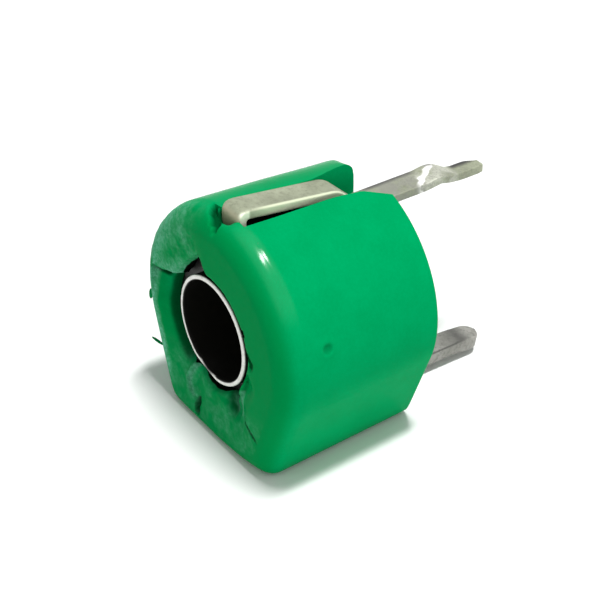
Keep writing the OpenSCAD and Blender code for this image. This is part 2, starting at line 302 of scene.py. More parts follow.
# The lip's mouth: distance of its edge from the axis at each angle
MOUTH = Curve((-180, 2.05), (-150, 2.05), (-134, 2.03), (-127, 2.0), (-121, 1.90), (-112, 1.83),
              (-106, 1.87), (-98, 1.86), (-90, 1.79), (-78, 1.65), (-70, 1.60), (-66, 1.70),
              (-60, 1.74), (-55, 1.68), (-49, 1.57), (-42, 1.46), (-36, 1.42), (-22, 1.415),
              (-12, 1.43), (-5, 1.45), (3, 1.46), (9, 1.43), (18, 1.415), (28, 1.44), (36, 1.42),
              (60, 1.41),
              (96, 1.415), (100, 1.52), (104, 1.70), (108, 1.80), (113, 1.76), (121, 1.68),
              (133, 1.64), (153, 1.65), (160, 1.72), (167, 2.0), (180, 2.05))

# How far each swaged lobe lies below the adjusting face, from its shoulder (0) to the mouth (1)
RIGHT_LOBE = Curve((0, 0), (0.9, 0.0), (0.96, 0.02), (1, 0.09))
TOP_LOBE = Curve((0, 0), (0.35, 0.02), (0.7, 0.03), (0.88, 0.07), (1, 0.2))
LEFT_LOBE = Curve((0, 0.0), (0.25, 0.03), (0.5, 0.09), (0.75, 0.16), (0.9, 0.24), (1, 0.36))
LOW_LOBE = Curve((0, 0.0), (0.3, 0.04), (0.6, 0.10), (0.85, 0.13), (0.95, 0.17), (1, 0.26))

# Steps where one lobe laps over the next, with painted shade at the foot of the low side: line in
# (x, z) with the low side on its left when walked, height of the step, and how far the low side
# takes to come level again
STEPS = [([(-1.45, 0.72), (-1.78, 0.58), (-2.25, 0.42), (-2.6, 0.43), (-3.2, 0.5)], 0.19, 1.1),
         ([(-0.6, -0.9), (-1.12, -1.76), (-1.31, -2.14), (-1.24, -2.42), (-1.0, -2.54),
           (-0.86, -2.7), (-0.84, -3.4)], 0.1, 0.6),
         ([(1.3, -0.7), (1.05, -1.25), (0.96, -1.55), (0.86, -1.95), (0.7, -2.5)], 0.12, 0.5)]

# Rolled ridges that stand up beside the steps, with a painted highlight along them: line in (x,
# z), half width, height
RIDGES = [([(-0.84, -1.3), (-1.08, -1.74), (-1.26, -2.13), (-1.2, -2.36), (-1.0, -2.46),
            (-0.72, -2.5)], 0.2, 0.07),
          ([(1.2, -0.95), (1.12, -1.25), (1.03, -1.6), (0.95, -2.0)], 0.12, 0.03)]

# Creases and slits in the lip, darkened with painted shade: line in (x, z), half width, depth
CREASES = [([(1.19, -1.66), (1.30, -1.78), (1.49, -1.92), (1.80, -2.09)], 0.045, 0.08),
           ([(-0.80, -2.46), (-0.85, -2.72), (-0.80, -3.0)], 0.075, 0.26),
           ([(-3.1, 0.42), (-2.57, 0.34), (-2.2, 0.28)], 0.12, 0.12),
           ([(1.46, 0.28), (1.53, 0.16), (1.66, 0.06), (1.62, -0.12)], 0.07, 0.04)]
HOLLOW_X, HOLLOW_Z, HOLLOW_R = 0.6, -1.72, 0.42     # hollow below the right-hand notch


def lobe_depth(deg, s, z):
    """Depth of the lobes below the adjusting face, with one lobe running into the next."""
    low = mix(LEFT_LOBE(s), LOW_LOBE(s), smooth(-134, -120, deg))
    low = mix(low, RIGHT_LOBE(s), smooth(-66, -50, deg))
    top = mix(RIGHT_LOBE(s), TOP_LOBE(s), smooth(98, 112, deg))
    if deg > 90:
        return mix(LEFT_LOBE(s), top, smooth(0.25, 0.7, z))
    return low


def whitening(x, z):
    """How white the upper left lobe is: most of all along its outer side and lower edge."""
    outer = smooth(2.0, 2.8, math.hypot(x, z)) * smooth(0.6, 2.0, -x)
    lower = 1 - smooth(0.6, 1.5, z - 0.25 * (x + 1.5))
    return 0.08 + 0.5 * max(outer, lower) + 0.3 * rough(x, 7, z, 0.4)


def face_form(x, z, angle, s):
    """How far the lip's face lies below the adjusting face, its wear with painted highlights, and
    its dark tone, mostly painted shade.
    """
    deg = degrees(angle)
    depth, wear_and_painted_highlight, dark = lobe_depth(deg, s, z), 0.0, 0.0
    for line, high, fade in STEPS:
        d, along, left = to_line(x, z, line)
        if d < fade and left > -0.04:
            low = smooth(-0.04, 0.05, left) * (1 - smooth(0.55, 1, along))
            depth += high * low * (1 - smooth(0.04, fade, left))
            # painted shade on the low side, at the foot of the step
            dark = max(dark, low * (1 - smooth(0.0, 0.16, left)) * 0.6)
    for line, half, high in RIDGES:
        d, along, _ = to_line(x, z, line)
        if d < half:
            ends = smooth(0, 0.15, along) * (1 - smooth(0.8, 1, along))
            depth -= high * (1 - smooth(0, half, d)) * ends
            # painted highlight along the ridge, carried by the wear tone
            wear_and_painted_highlight = max(wear_and_painted_highlight, 0.5 * (1 - smooth(0.02, half * 0.7, d)) * ends)
    for line, half, deep in CREASES:
        d, along, _ = to_line(x, z, line)
        if d < half * 1.5:
            ends = 0.35 + 0.65 * smooth(0, 0.15, along) * (1 - smooth(0.85, 1, along))
            depth += deep * (1 - smooth(0, half, d)) * ends
            # painted shade in the crease
            dark = max(dark, (1 - smooth(half * 0.5, half * 1.5, d)) * ends)
    # the hollow, darkened with painted shade
    sunk = 1 - smooth(0.1, HOLLOW_R, math.hypot(x - HOLLOW_X, (z - HOLLOW_Z) * 0.8))
    sunk *= 1 - smooth(0.88, 1.02, x)
    depth += 0.14 * sunk
    dark = max(dark, sunk)
    # the upper left lobe, whitened and fibrous
    whitened = smooth(100, 112, deg) * smooth(0.4, 0.6, z)
    depth += whitened * 0.015 * rough(x, 0, z, 0.2, 2)
    wear_and_painted_highlight = max(wear_and_painted_highlight, whitened * whitening(x, z))
    # the left lobe: frayed at the outline, with painted shade at the mouth
    left_side = smooth(150, 168, deg) if deg > 0 else 1 - smooth(-134, -122, deg)
    dark = max(dark, left_side * smooth(0.6, 0.95, s))
    wear_and_painted_highlight = max(wear_and_painted_highlight, left_side * (1 - smooth(0, 0.3, s)) * (0.7 + 0.4 * rough(x, 9, z, 0.3)))
    # pits along the right edge of the mouth, darkened with painted shade
    right_nicks = smooth(-25, -12, deg) * (1 - smooth(28, 40, deg)) * smooth(0.86, 0.96, s)
    pitted = smooth(0.0, 0.35, rough(x, 4, z, 0.22))
    depth += 0.07 * right_nicks * pitted
    dark = max(dark, right_nicks * pitted)
    # unevenness all over, most of all where the plastic has torn, and frosting low down
    torn = 1 - smooth(-50, -40, deg) if deg < 0 else smooth(150, 165, deg)
    depth += (0.004 + 0.014 * torn) * rough(x, 3, z, 0.35)
    frost = smooth(1.2, 2.0, -z) * (0.1 + 0.2 * rough(x, 5, z, 0.3))
    return max(0.0, depth), max(wear_and_painted_highlight, frost), dark


# Ragged recess beside the strap's bend: its line in (x, t)
RECESS = [(-0.5, 3.9), (-0.4, 4.02), (-0.13, 4.15), (0.06, 4.26)]


def shoulder_cut(x, t):
    """Depth of the ragged recess left of the strap's bend, with the pocket in front of it, and the
    painted shade in them."""
    d = to_line(x, t, RECESS)[0]
    wide = 0.13 + 0.05 * rough(x, 2, t, 0.15)
    hole = (1 - smooth(wide * 0.3, wide, d)) * (1 - smooth(4.3, 4.38, t))
    pocket = smooth(-0.46, -0.22, x) * (1 - smooth(-0.2, 0.5, x)) * (1 - smooth(3.97, 4.2, t))
    return max(0.22 * hole, 0.42 * pocket), max(hole, smooth(0.1, 0.5, pocket))


# Rows of points: along the barrel, closer together at its rear, at the dip and at the injection
# mark, then over the shoulder, the face and the mouth's wall, and through the chamber
BARREL_ROWS = sorted([0.0, 0.02, 0.05, 0.09, 0.14, 0.2, 0.26, 0.32, 0.4, 0.5, 0.6, 0.7, 0.85, 1.0,
                      1.15, DIP_LEN - 0.001, DIP_LEN + 0.001, 1.4, 1.6, 1.8, 2.0, 2.2, 2.4, 2.6,
                      2.8, 3.0, 3.2, 3.4, 3.55, 3.65, 3.75, CHANNEL_END - 0.001]
                     + [GATE_T + k * 0.025 for k in range(-8, 9)])
SHOULDER_ROWS = 22
FACE_ROWS = 46
WALL_ROWS = 6
REAR_ROUND = 0.06               # rounding of the barrel's rear edge
CLOSED_ROWS = [(CHAMBER_R, LIP_UNDER), (CHAMBER_R, 3.0), (CHAMBER_R, 2.2),
               (CHAMBER_R, CHAMBER_FLOOR), (1.2, CHAMBER_FLOOR), (0.4, CHAMBER_FLOOR)]
ROWS = len(BARREL_ROWS) + SHOULDER_ROWS + FACE_ROWS + WALL_ROWS + len(CLOSED_ROWS)


def flat(p, t):
    """A point across the axis, taken to its place along the axis."""
    return Vector((p.x, -t, p.y))


def barrel_row(i, t):
    """Point (x, z) of column i across the axis at t."""
    rim = REAR_ROUND * (1 - math.sqrt(1 - (1 - min(1.0, t / REAR_ROUND)) ** 2))
    if i <= BARREL_COLS:
        angle = column_angle(i, t)
        p = case_point(angle, t, rim)
        middle = degrees(angle)
        if 0 < middle < 150:
            p = cut_rear_corners(p, t, middle < 90)
        return p
    p = channel_point(i - BARREL_COLS, t)
    return cut_rear_corners(p, t, p.x > 0.2)


def closed_angle(i):
    """Angle of every column where the channel is closed."""
    right, left = channel_corners(CHANNEL_END)
    if i <= BARREL_COLS:
        return column_angle(i, CHANNEL_END)
    return mix(left, right, (i - BARREL_COLS) / CHANNEL_COLS)


def shoulder_point(angle, u):
    """Point on the rounding between barrel and face, its place along the axis, and the turn."""
    edge = EDGE(degrees(angle))
    start = CASE_LEN - edge
    if start > CHANNEL_END:
        t = mix(CHANNEL_END + 0.002, start, min(1.0, u * 4))
        turn = max(0.0, (u - 0.25) / 0.75) * math.pi / 2
    else:
        t = start
        turn = mix(math.asin((CHANNEL_END + 0.002 - start) / edge), math.pi / 2, u)
    if turn > 0:
        t = start + edge * math.sin(turn)
    r = outline_r(angle, edge * (1 - math.cos(turn)), barrel_radius(min(t, CASE_LEN - FRONT_LEN)))
    return r, t, turn


def case_place(i, j):
    """Place of the case's point in column i and row j, and its tones: painted shade in the gap,
    wear with painted highlights, and the dark tone, mostly painted shade.
    """
    if j < len(BARREL_ROWS):
        t = BARREL_ROWS[j]
        return flat(barrel_row(i, t), t), barrel_tones(i, t)
    j -= len(BARREL_ROWS)
    angle = closed_angle(i)
    along = Vector((math.cos(angle), math.sin(angle)))
    if j < SHOULDER_ROWS:
        return shoulder_finish(along, angle, *shoulder_point(angle, j / SHOULDER_ROWS))
    j -= SHOULDER_ROWS
    outer, top, _ = shoulder_point(angle, 1.0)
    mouth = MOUTH(degrees(angle)) + 0.012 * rough(along.x, 5, along.y, 0.12)
    if j < FACE_ROWS:
        s = (j / (FACE_ROWS - 1)) ** 0.9
        p = along * mix(outer, mouth, s)
        depth, wear_and_painted_highlight, dark = face_form(p.x, p.y, angle, s)
        return flat(p, top - depth), (smooth(0.985, 1, s), wear_and_painted_highlight, dark)
    j -= FACE_ROWS
    p = along * mouth
    edge_t = top - face_form(p.x, p.y, angle, 1.0)[0]
    if j < WALL_ROWS:
        f = (j + 1) / WALL_ROWS
        under = flat(p * (1 + 0.04 * math.sin(f * math.pi / 2)), mix(edge_t, LIP_UNDER, f))
        # the mouth's wall, like the chamber below, carries full painted shade in the gap and dark
        # tones
        return under, (1, 0, 1)
    r, t = CLOSED_ROWS[j - WALL_ROWS]
    return flat(along * r, t), (1, 0, 1)


def barrel_tones(i, t):
    """Painted gap shade, wear and dark tones of the barrel's rows: painted shade where the strap
    shades its channel.
    """
    k = i - BARREL_COLS
    shaded = smooth(0, WALL_COLS * 0.4, k) * (1 - smooth(CHANNEL_COLS - 3, CHANNEL_COLS, k))
    return shaded * smooth(0.8, 1.6, t), 0.0, 0.0


def shoulder_finish(along, angle, r, t, turn):
    """A point on the shoulder with its recess and roughness, and its tones."""
    p = along * r
    dark = 0.0
    if p.y > 2 and abs(p.x) < 0.8:
        # the recess and its pocket bring their painted shade as the dark tone
        cut, dark = shoulder_cut(p.x, t)
        p = along * (r - cut * math.cos(turn))
        t -= cut * math.sin(turn)
    deg = degrees(angle)
    whitened = smooth(97, 115, deg) * (1 - smooth(164, 170, deg)) * smooth(3.8, 4.1, t)
    if whitened > 0:
        p = p * (1 - 0.015 * whitened * (rough(p.x, t, p.y, 0.24, 2) + 0.5) / r)
    left_edge = smooth(170, 176, deg) if deg > 0 else 1 - smooth(-140, -118, deg)
    left_edge *= smooth(0.15, 0.6, turn)
    wear_and_painted_highlight = max(whitened * whitening(p.x, p.y),
               left_edge * (0.7 + 0.4 * rough(p.x, 9, p.y, 0.3)))
    return flat(p, t), (0.0, wear_and_painted_highlight, dark)


# Slivers of plastic torn up along the left edge: middle, half sizes, turn about Y in degrees
BURRS = [((-2.83, -4.36, -0.56), (0.08, 0.02, 0.17), 15),
         ((-2.65, -4.34, -1.88), (0.29, 0.04, 0.03), -8)]
BURR_TONE = 0.35


def make_case():
    """The moulding: one closed sheet from the seating face over the lip and into the chamber."""
    bm = sheet_of(COLS, ROWS - 1, case_place, ["gap", "wear_and_painted_highlight", "dark"])
    bmesh.ops.remove_doubles(bm, verts=bm.verts[:], dist=1e-5)
    for row_t in (0.0, CHAMBER_FLOOR):
        open_edges = [e for e in bm.edges if e.is_boundary
                      and abs(e.verts[0].co.y + row_t) < 1e-4]
        bmesh.ops.contextual_create(bm, geom=open_edges)
    dark = bm.verts.layers.float["dark"]
    for middle, size, turn in BURRS:
        place = Matrix.Translation(middle) @ Matrix.Rotation(math.radians(turn), 4, "Y")
        made = bmesh.ops.create_icosphere(bm, subdivisions=3, radius=1.0,
                                          matrix=place @ Matrix.Diagonal((*size, 1)))
        for v in made["verts"]:
            v[dark] = BURR_TONE
    return finish_mesh(bm, "moulded_case", "housing", ["case"], 50)


# ---------------------------------------------------------------- terminals
def offset_line(points, shift):
    """A broken line in (t, z) moved square to itself, with its corners mitred."""
    headings = [(b - a).normalized() for a, b in zip(points, points[1:])]
    out = []
    for k, p in enumerate(points):
        before = headings[max(k - 1, 0)]
        after = headings[min(k, len(headings) - 1)]
        half = (before + after).normalized()
        square = Vector((half.y, -half.x))
        out.append(p + square * shift / half.dot(before))
    return out


def eased(points, runs, counts, steps=5):
    """Rounds a broken line's corners, each over its run, and divides its straights by counts."""
    line = [points[0]]
    for k in range(1, len(points) - 1):
        a, b, c = points[k - 1:k + 2]
        near = min(runs[k], (a - b).length * 0.45)
        far = min(runs[k], (c - b).length * 0.45)
        start, end = b + (a - b).normalized() * near, b + (c - b).normalized() * far
        line += [line[-1].lerp(start, f / counts[k - 1]) for f in range(1, counts[k - 1])]
        line += [start * (1 - f / steps) ** 2 + b * 2 * (f / steps) * (1 - f / steps)
                 + end * (f / steps) ** 2 for f in range(steps + 1)]
    line += [line[-1].lerp(points[-1], f / counts[-1]) for f in range(1, counts[-1] + 1)]
    return line


def strip_section():
    """Points around a strip: the side of each across (u) and through (w), and its rounding."""
    section = []
    corners = [(1, 1), (-1, 1), (-1, -1), (1, -1)]
    for corner, (su, sw) in enumerate(corners):
        for k in range(5):
            turn = math.radians(corner * 90 + k * 22.5)
            section.append((su, sw, math.cos(turn), math.sin(turn)))
        nu, nw = corners[(corner + 1) % 4]
        if su != nu:
            section += [(mix(su, nu, k / 6), sw, 0.0, sw) for k in range(1, 6)]
        else:
            section += [(su, mix(sw, nw, k / 3), su, 0.0) for k in (1, 2)]
    return section


def strip(points, at_x, half_width, thickness, edge, bend=0.1, first_bend=0.1, spacing=0.08):
    """A bent strip of sheet that follows a line in (t, z), with rounded long edges."""
    points = [Vector(p) for p in points]
    counts = [max(2, math.ceil((b - a).length / spacing)) for a, b in zip(points, points[1:])]
    turns = [(b - a).cross(c - b) for a, b, c in zip(points, points[1:], points[2:])]
    upper_runs, lower_runs = [0.0], [0.0]
    for k, turn in enumerate(turns):
        radius = first_bend if k == 0 else bend
        wide, tight = radius + thickness / 2, max(0.05, radius - thickness / 2)
        upper_runs.append(wide if turn > 0 else tight)
        lower_runs.append(tight if turn > 0 else wide)
    upper = eased(offset_line(points, thickness / 2), upper_runs, counts)
    lower = eased(offset_line(points, -thickness / 2), lower_runs, counts)
    section = strip_section()

    def place(i, j):
        su, sw, cu, cw = section[i % len(section)]
        top, low = upper[j], lower[j]
        high = (top - low).length / 2
        half, shift = half_width((top.x + low.x) / 2)
        u = su * (half - edge) + edge * (cu if abs(su) == 1 else 0)
        w = (sw * (high - edge) + edge * cw) / high
        if abs(su) == 1 and abs(sw) < 1:
            u, w = su * half, sw * (high - edge) / high
        mid = low.lerp(top, (w + 1) / 2)
        return Vector((at_x + shift + u, -mid.x, mid.y))

    bm = sheet_of(len(section), len(upper) - 1, place)
    bmesh.ops.remove_doubles(bm, verts=bm.verts[:], dist=1e-5)
    for here in (points[0], points[-1]):
        rim = [e for e in bm.edges if e.is_boundary
               and all((Vector((-v.co.y, v.co.z)) - here).length < thickness * 1.2
                       for v in e.verts)]
        bmesh.ops.contextual_create(bm, geom=rim)
    return bm


def spin_outline(bm, outline, steps):
    """Spins a closed outline in (radius, t) about the turning axis."""
    verts = [bm.verts.new((r, -t, 0)) for r, t in outline]
    edges = [bm.edges.new((a, b)) for a, b in zip(verts, verts[1:] + verts[:1])]
    bmesh.ops.spin(bm, geom=verts + edges, cent=(0, 0, 0), axis=(0, 1, 0),
                   angle=2 * math.pi, steps=steps, use_merge=True)


def ring_into(bm, outer, inner, low, high, steps=96):
    """Adds a flat ring around the turning axis."""
    spin_outline(bm, [(inner, low), (outer, low), (outer, high), (inner, high)], steps)


def strap_half(t):
    """Half width and sideways shift of the strap along the axis: it narrows past its kink."""
    near = mix(STRAP_W, PIN_W, smooth(2.0, 2.5, -t)) / 2
    far = mix(STRAP_W / 2 + 0.065, PIN_W / 2, smooth(2.0, 2.4, -t))
    near, far = near - 0.03 * smooth(3.1, 3.3, -t), far - 0.15 * smooth(2.95, 3.3, -t)
    return (near + far) / 2, (near - far) / 2


def make_rotor_terminal():
    """Ring, strap over the case, and the upper pin with its kink."""
    front = RING_TOP - STRAP_T / 2
    line = [(front, 1.9), (front, 3.06), (1.15, 2.71), (0.4, 2.02), (-1.5, 2.03), (-1.93, 2.09),
            (-2.3, 1.95), (-2.55, 1.9), (0.03 - STRAP_HIGH.y, 1.9)]
    bm = strip(line, STRAP_X, strap_half, STRAP_T, 0.035, first_bend=0.2)
    ring_into(bm, RING_OUT, RING_IN, RING_BASE, RING_TOP)
    return finish_mesh(bm, "strap_and_upper_pin", "housing", ["rotor_terminal"])


def stator_half(t):
    """Half width and sideways shift of the lower pin: it ends in a half round."""
    r, shift = STATOR_W / 2 + 0.05, 0.05
    past = -t - (STATOR_HIGH.y - STATOR_SHORT - r)
    if past > 0:
        return math.sqrt(max(1e-4, r * r - past * past)), shift
    return r, shift


def make_stator_terminal():
    """Half-moon electrode inside the case, and the lower pin."""
    level = STATOR_BASE + STATOR_T / 2
    line = [(level, -1.2), (level, STATOR_Z), (-2.25, STATOR_Z),
            (STATOR_SHORT - STATOR_HIGH.y, STATOR_Z - 0.1)]
    bm = strip(line, STATOR_X, stator_half, STATOR_T, 0.05, spacing=0.03)
    half = bmesh.new()
    ring_into(half, 2.1, 0.05, STATOR_BASE, STATOR_BASE + STATOR_T, 64)
    bmesh.ops.bisect_plane(half, geom=half.verts[:] + half.edges[:] + half.faces[:],
                           plane_co=(0, 0, 0), plane_no=(0, 0, 1), clear_outer=True)
    bmesh.ops.holes_fill(half, edges=half.edges[:], sides=8)
    held = bpy.data.meshes.new("half_moon")
    half.to_mesh(held)
    half.free()
    bm.from_mesh(held)
    bpy.data.meshes.remove(held)
    return finish_mesh(bm, "lower_pin", "housing", ["stator_terminal"])


# ---------------------------------------------------------------- sleeve
def make_sleeve():
    """Flanged sleeve, spun from its outline."""
    inner, middle = SLEEVE_R - SLEEVE_WALL, SLEEVE_R - SLEEVE_WALL / 2
    bevel, corner = 0.03, 0.035
    straight = [3.2, 3.6, 4.0, 4.2, 4.3]

    def rounded(middle_r, first):
        turns = [math.radians(first + 22.5 * k) for k in range(5)]
        return [(middle_r + corner * math.cos(turn), CASE_LEN - corner + corner * math.sin(turn))
                for turn in turns]

    outline = [(inner, FLANGE_BASE), (FLANGE_R - bevel, FLANGE_BASE),
               (FLANGE_R, FLANGE_BASE + bevel), (FLANGE_R, FLANGE_TOP - bevel),
               (FLANGE_R - bevel, FLANGE_TOP), (SLEEVE_R + 0.04, FLANGE_TOP),
               (SLEEVE_R, FLANGE_TOP + 0.04)]
    outline += [(SLEEVE_R, t) for t in straight]
    outline += rounded(SLEEVE_R - corner, 0) + [(middle, CASE_LEN)] + rounded(inner + corner, 90)
    outline += [(inner, t) for t in reversed(straight)]
    bm = bmesh.new()
    spin_outline(bm, outline, 160)
    # the rim is a little uneven, and its wall is thin at the bottom
    for v in bm.verts:
        angle = math.atan2(v.co.z, v.co.x)
        around = math.cos(angle), math.sin(angle)
        r = math.hypot(v.co.x, v.co.z)
        top = smooth(4.0, 4.36, -v.co.y)
        thin = hump(degrees(angle), -103, 24) * top
        inside = 1 - smooth(inner + 0.02, middle, r)
        outside = smooth(middle, SLEEVE_R - 0.01, r)
        change = thin * (0.055 * inside - 0.02 * outside)
        change += 0.004 * top * rough(around[0], 0, around[1], 0.3)
        v.co.y += 0.03 * thin + 0.004 * top * abs(rough(around[0], 2, around[1], 0.2))
        v.co.x *= (r + change) / r
        v.co.z *= (r + change) / r
    return finish_mesh(bm, "turning_sleeve", "rotor", ["rotor_sleeve"])


# ---------------------------------------------------------------- shader maths
def whole(value):
    """A socket's value; a colour is given its fourth number."""
    return (*value, 1) if isinstance(value, tuple) else value


class Sock:
    """A node socket that Python expressions can work with."""

    def __init__(self, tree, out=None):
        self.tree, self.out = tree, out

    def node(self, kind, settings=None, inputs=None, output=0):
        """Adds a node: its settings first, then the values or links of its sockets."""
        made = self.tree.nodes.new(kind)
        for name, value in (settings or {}).items():
            setattr(made, name, value)
        for key, value in (inputs or {}).items():
            if isinstance(value, Sock):
                self.tree.links.new(value.out, made.inputs[key])
            else:
                made.inputs[key].default_value = whole(value)
        return Sock(self.tree, made.outputs[output])

    def math(self, operation, *values):
        return self.node("ShaderNodeMath", {"operation": operation}, dict(enumerate(values)))

    def __add__(self, other):
        return self.math("ADD", self, other)

    def __radd__(self, other):
        return self.math("ADD", other, self)

    def __sub__(self, other):
        return self.math("SUBTRACT", self, other)

    def __rsub__(self, other):
        return self.math("SUBTRACT", other, self)

    def __mul__(self, other):
        return self.math("MULTIPLY", self, other)

    def __rmul__(self, other):
        return self.math("MULTIPLY", other, self)

    def __truediv__(self, other):
        return self.math("DIVIDE", self, other)

    def __pow__(self, other):
        return self.math("POWER", self, other)

    def abs(self):
        return self.math("ABSOLUTE", self)

    def most(self, other):
        return self.math("MAXIMUM", self, other)

    def step(self, low, high):
        """0 below low, 1 above high."""
        return self.node("ShaderNodeMapRange", {"interpolation_type": "SMOOTHSTEP"},
                         {0: self, 1: low, 2: high, 3: 0.0, 4: 1.0})

    def near(self, middle, half):
        """1 at the middle, falling to 0 half a width away."""
        return 1 - (self - middle).abs().step(0.0, half)

    def blend(self, a, b):
        """Mixes two colours by this factor: a at 0, b at 1."""
        return self.node("ShaderNodeMix", {"data_type": "RGBA"}, {0: self, 6: a, 7: b}, 2)

    def parts(self):
        """The x, y and z of a vector."""
        split = self.node("ShaderNodeSeparateXYZ", {}, {0: self}).out.node
        return [Sock(self.tree, out) for out in split.outputs]


class Finish:
    """A material with a Principled shader, and the object's own coordinates in millimetres."""

    def __init__(self, name, **constants):
        self.material = bpy.data.materials.new(name)
        self.material.use_nodes = True
        self.tree = self.material.node_tree
        self.shader = self.tree.nodes["Principled BSDF"]
        for key, value in constants.items():
            socket = self.shader.inputs[key.replace("_", " ").title().replace("Ior", "IOR")]
            socket.default_value = whole(value)
        self.maths = Sock(self.tree)
        self.point = self.maths.node("ShaderNodeTexCoord", output="Object")
        self.x, self.y, self.z = (part / MM for part in self.point.parts())
        self.t = -1 * self.y
        self.radius = (self.x * self.x + self.z * self.z) ** 0.5

    def noise(self, scale, detail=3.0, roughness=0.6):
        """Noise with lumps 1/scale millimetres across, about 0.5."""
        return self.maths.node("ShaderNodeTexNoise", {"noise_dimensions": "3D"},
                               {"Vector": self.point, "Scale": scale / MM, "Detail": detail,
                                "Roughness": roughness})

    def tone(self, name):
        """A named tone that the mesh carries."""
        return self.maths.node("ShaderNodeAttribute", {"attribute_name": name}, output="Fac")

    def set(self, name, value):
        self.tree.links.new(value.out, self.shader.inputs[name])

    def bump(self, height, strength, distance):
        """Height is in the unit of distance, which is in millimetres."""
        self.set("Normal", self.maths.node("ShaderNodeBump", {}, {
            "Strength": strength, "Distance": distance * MM, "Height": height}))

    def onto(self, piece):
        piece.data.materials.clear()
        piece.data.materials.append(self.material)


# ---------------------------------------------------------------- finishes
def plastic():
    """Green moulding: smooth and lightly glossy, rough and whitened where a tool pressed it."""
    f = Finish("green_moulded_plastic", ior=1.45, specular_ior_level=0.004,
               specular_tint=(0.2, 1.0, 0.75), coat_ior=1.5, coat_roughness=0.17)
    broad, fine = f.noise(1.2, 2), f.noise(14, 4, 0.7)
    # the dark tone: painted shade in steps, creases, hollows, pits and recesses, and a darker tone
    # on the torn slivers
    dark = f.tone("dark")
    wear_and_painted_highlight = f.tone("wear_and_painted_highlight") * (0.35 + f.noise(11, 4, 0.75).step(0.36, 0.66) * 0.65)
    front = f.t.step(3.95, 4.3)
    base = broad.step(0.3, 0.7).blend((0.0, 0.305, 0.093), (0.0, 0.326, 0.102))
    base = (fine.step(0.35, 0.75) * (0.2 + front * 0.15)).blend(base, (0.0, 0.42, 0.15))
    # painted shade: the front of the case is painted darker
    base = (front * 0.8).blend(base, (0.0, 0.225, 0.05))
    # painted shade from the dark tone
    base = (dark.step(0.0, 0.9) * 0.92).blend(base, (0.0, 0.05, 0.012))
    # whitened wear, and the painted highlight on the rolled ridges
    base = wear_and_painted_highlight.blend(base, (0.18, 0.53, 0.37))
    # painted shade in the injection mark's dimple
    pit = 1 - ((f.x * math.sin(GATE_TURN) - f.z * math.cos(GATE_TURN)) ** 2
               + (f.t - GATE_T) ** 2).step(0.003, 0.024)
    base = (pit * f.x.step(2.4, 2.6) * 0.45).blend(base, (0.0, 0.14, 0.04))
    # painted shade in the gap around the sleeve, down the mouth's wall, in the chamber and in the
    # channel under the strap
    base = f.tone("gap").step(0.1, 0.8).blend(base, (0.002, 0.008, 0.003))
    f.set("Base Color", base)
    f.set("Roughness", 0.15 + wear_and_painted_highlight * 0.4 + dark * 0.3 + f.noise(6, 3) * 0.06)
    # the polished part of the shoulder
    glossy = f.x.step(0.3, 0.9) * f.z.step(1.3, 2.0) * f.t.near(3.93, 0.3).step(0.0, 0.6)
    f.set("Coat Weight", glossy * 0.38)
    f.bump(fine * (0.3 + wear_and_painted_highlight), 0.5, 0.02)
    return f


def tin(name, colour, bright, dark, wear, facets=()):
    """Dull tinned sheet: cloudy, with dark specks. A facet is its middle and half length in y,
    where it lies besides, and its colour."""
    f = Finish(name, metallic=0.3, ior=1.45)
    cloud = f.noise(1.3, 4)
    grain = f.noise(9, 5, 0.75)
    base = cloud.step(0.35, 0.65).blend(colour, bright)
    base = (grain.step(0.45, 0.7) * wear).blend(base, dark)
    for middle, half, where, tint in facets:
        spot = f.y.near(middle, half).step(0.1, 0.6) * where(f)
        base = spot.blend(base, tint)
    # painted shade on the parts that lie inside the case
    painted_inner_shade = (1 - f.radius.step(2.3, 2.5)) * f.t.step(0.4, 0.8)
    base = painted_inner_shade.blend(base, (0.02, 0.02, 0.018))
    f.set("Base Color", base)
    f.set("Roughness", 0.42 + cloud * 0.2)
    f.bump(grain, 0.5, 0.02)
    return f


def sleeve_metal():
    """Plated sleeve: bright on its rim, with painted shade in its bore and below the face."""
    f = Finish("bright_rim_painted_shade_bore", ior=1.45, specular_ior_level=0.12)
    bore = SLEEVE_R - SLEEVE_WALL
    # painted shade: the bore and the sleeve below the face are painted near black
    inside = 1 - f.radius.step(bore + 0.012, bore + 0.04)
    inside = inside.most(1 - f.t.step(CASE_LEN - 0.06, CASE_LEN - 0.015))
    spots = f.noise(7, 4)
    base = spots.step(0.35, 0.7).blend((0.72, 0.72, 0.69), (0.58, 0.58, 0.54))
    base = inside.blend(base, (0.004, 0.004, 0.003))
    f.set("Base Color", base)
    f.set("Metallic", (1 - inside) * 0.6)
    f.set("Roughness", 0.33 + inside * 0.1 + spots * 0.1)
    f.bump(spots, 0.3, 0.01)
    return f


def plain(name, colour, other, metallic, roughness, scale):
    """Clouded finish of an inner piece."""
    f = Finish(name, metallic=metallic)
    cloud = f.noise(scale, 4)
    f.set("Base Color", cloud.step(0.35, 0.68).blend(colour, other))
    f.set("Roughness", roughness + cloud * 0.15)
    f.bump(f.noise(scale * 5, 3), 0.3, 0.01)
    return f


# ---------------------------------------------------------------- stage
ROOM_LIGHT = 0.43
LAMP_WATTS = 0.82
LAMP_PLACE, LAMP_SIZE = (0.046, 0.018, 0.297), (0.075, 0.03)      # in metres
FLOOR_HALF = 0.6                                                  # in metres
WHITE_FROM, WHITE_TO = 25, 70     # from the axis, in millimetres: where the floor turns white
CAMERA_AIM, CAMERA_AWAY = Vector((0, -1.93, -0.1)), 41.51         # in millimetres
CAMERA_TURN, CAMERA_RISE = math.radians(55.28), math.radians(34.68)


def seen_directly(maths):
    """1 for what is seen by the eye, in a mirror or through glass; 0 for what lights a surface."""
    rays = [maths.node("ShaderNodeLightPath", output=name)
            for name in ("Is Camera Ray", "Is Glossy Ray", "Is Transmission Ray")]
    return rays[0].most(rays[1]).most(rays[2])


